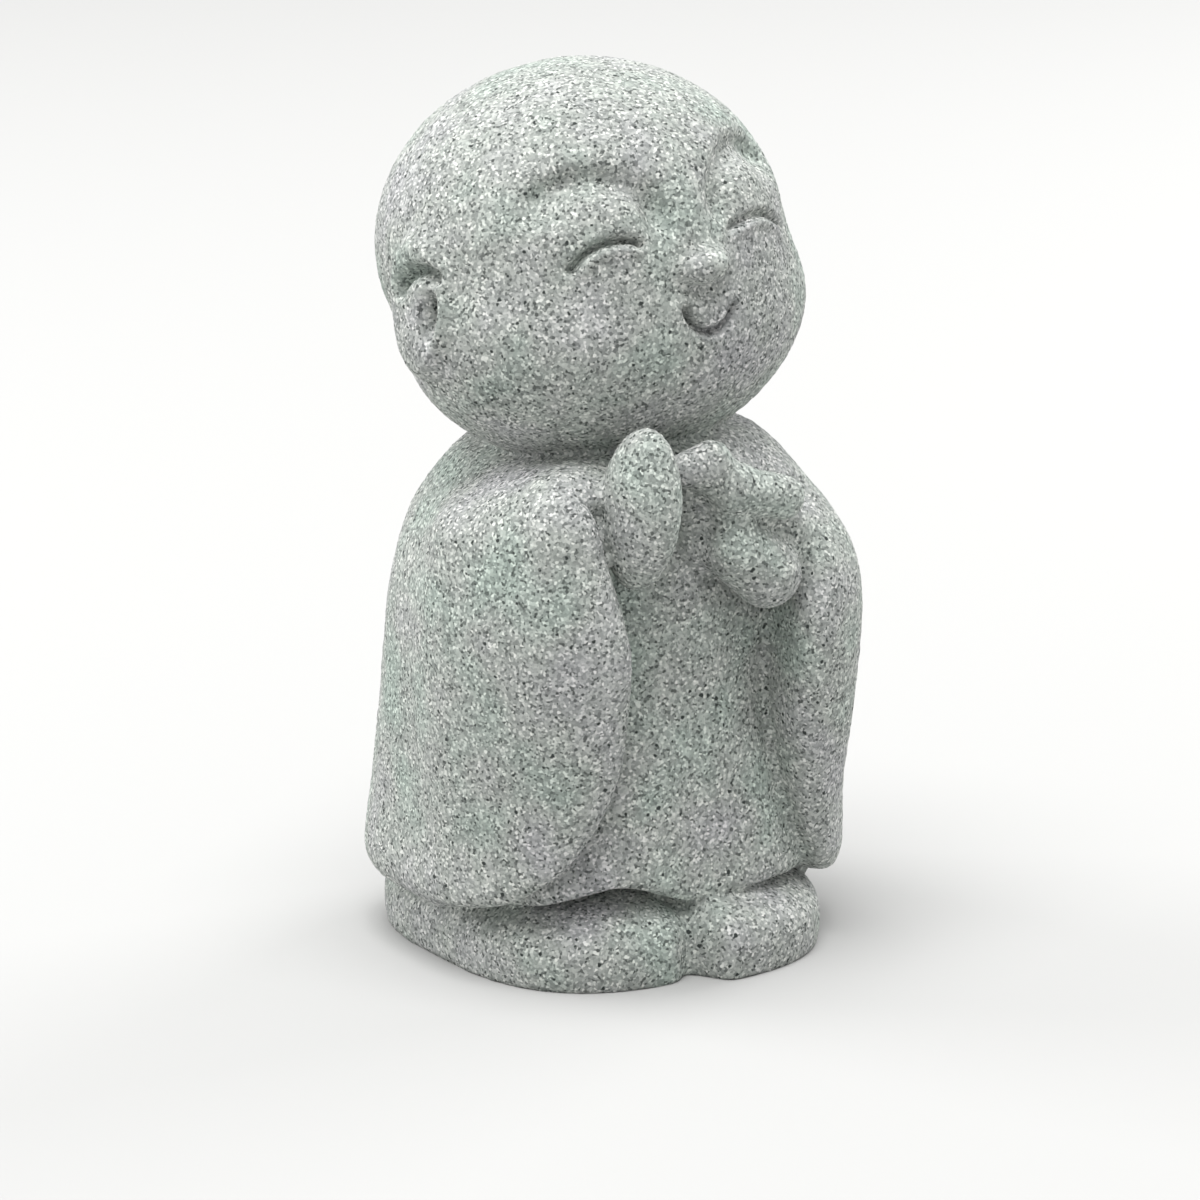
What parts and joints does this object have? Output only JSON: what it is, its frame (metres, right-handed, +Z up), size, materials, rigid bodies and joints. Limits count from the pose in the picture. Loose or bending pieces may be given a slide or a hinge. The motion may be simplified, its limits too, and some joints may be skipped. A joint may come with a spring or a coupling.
{
  "type": "stone jizo statue",
  "caption": "Small standing child-monk figure with a round smiling head, wide-sleeved robe and hands raised at the chest, cast solid in stone with a flat underside.",
  "frame": {"origin": "on the ground, under the middle of the figure's bounding box", "axes": "+Z up along the figure's height, the figure faces -Y, its right hand is on the -X side"},
  "size_m": [0.031, 0.03, 0.058],
  "materials": {
    "stone": "matt, fine sandy grain, cast"
  },
  "bodies": {
    "root": {"jizo_statue": "stone"}
  },
  "joints": []
}
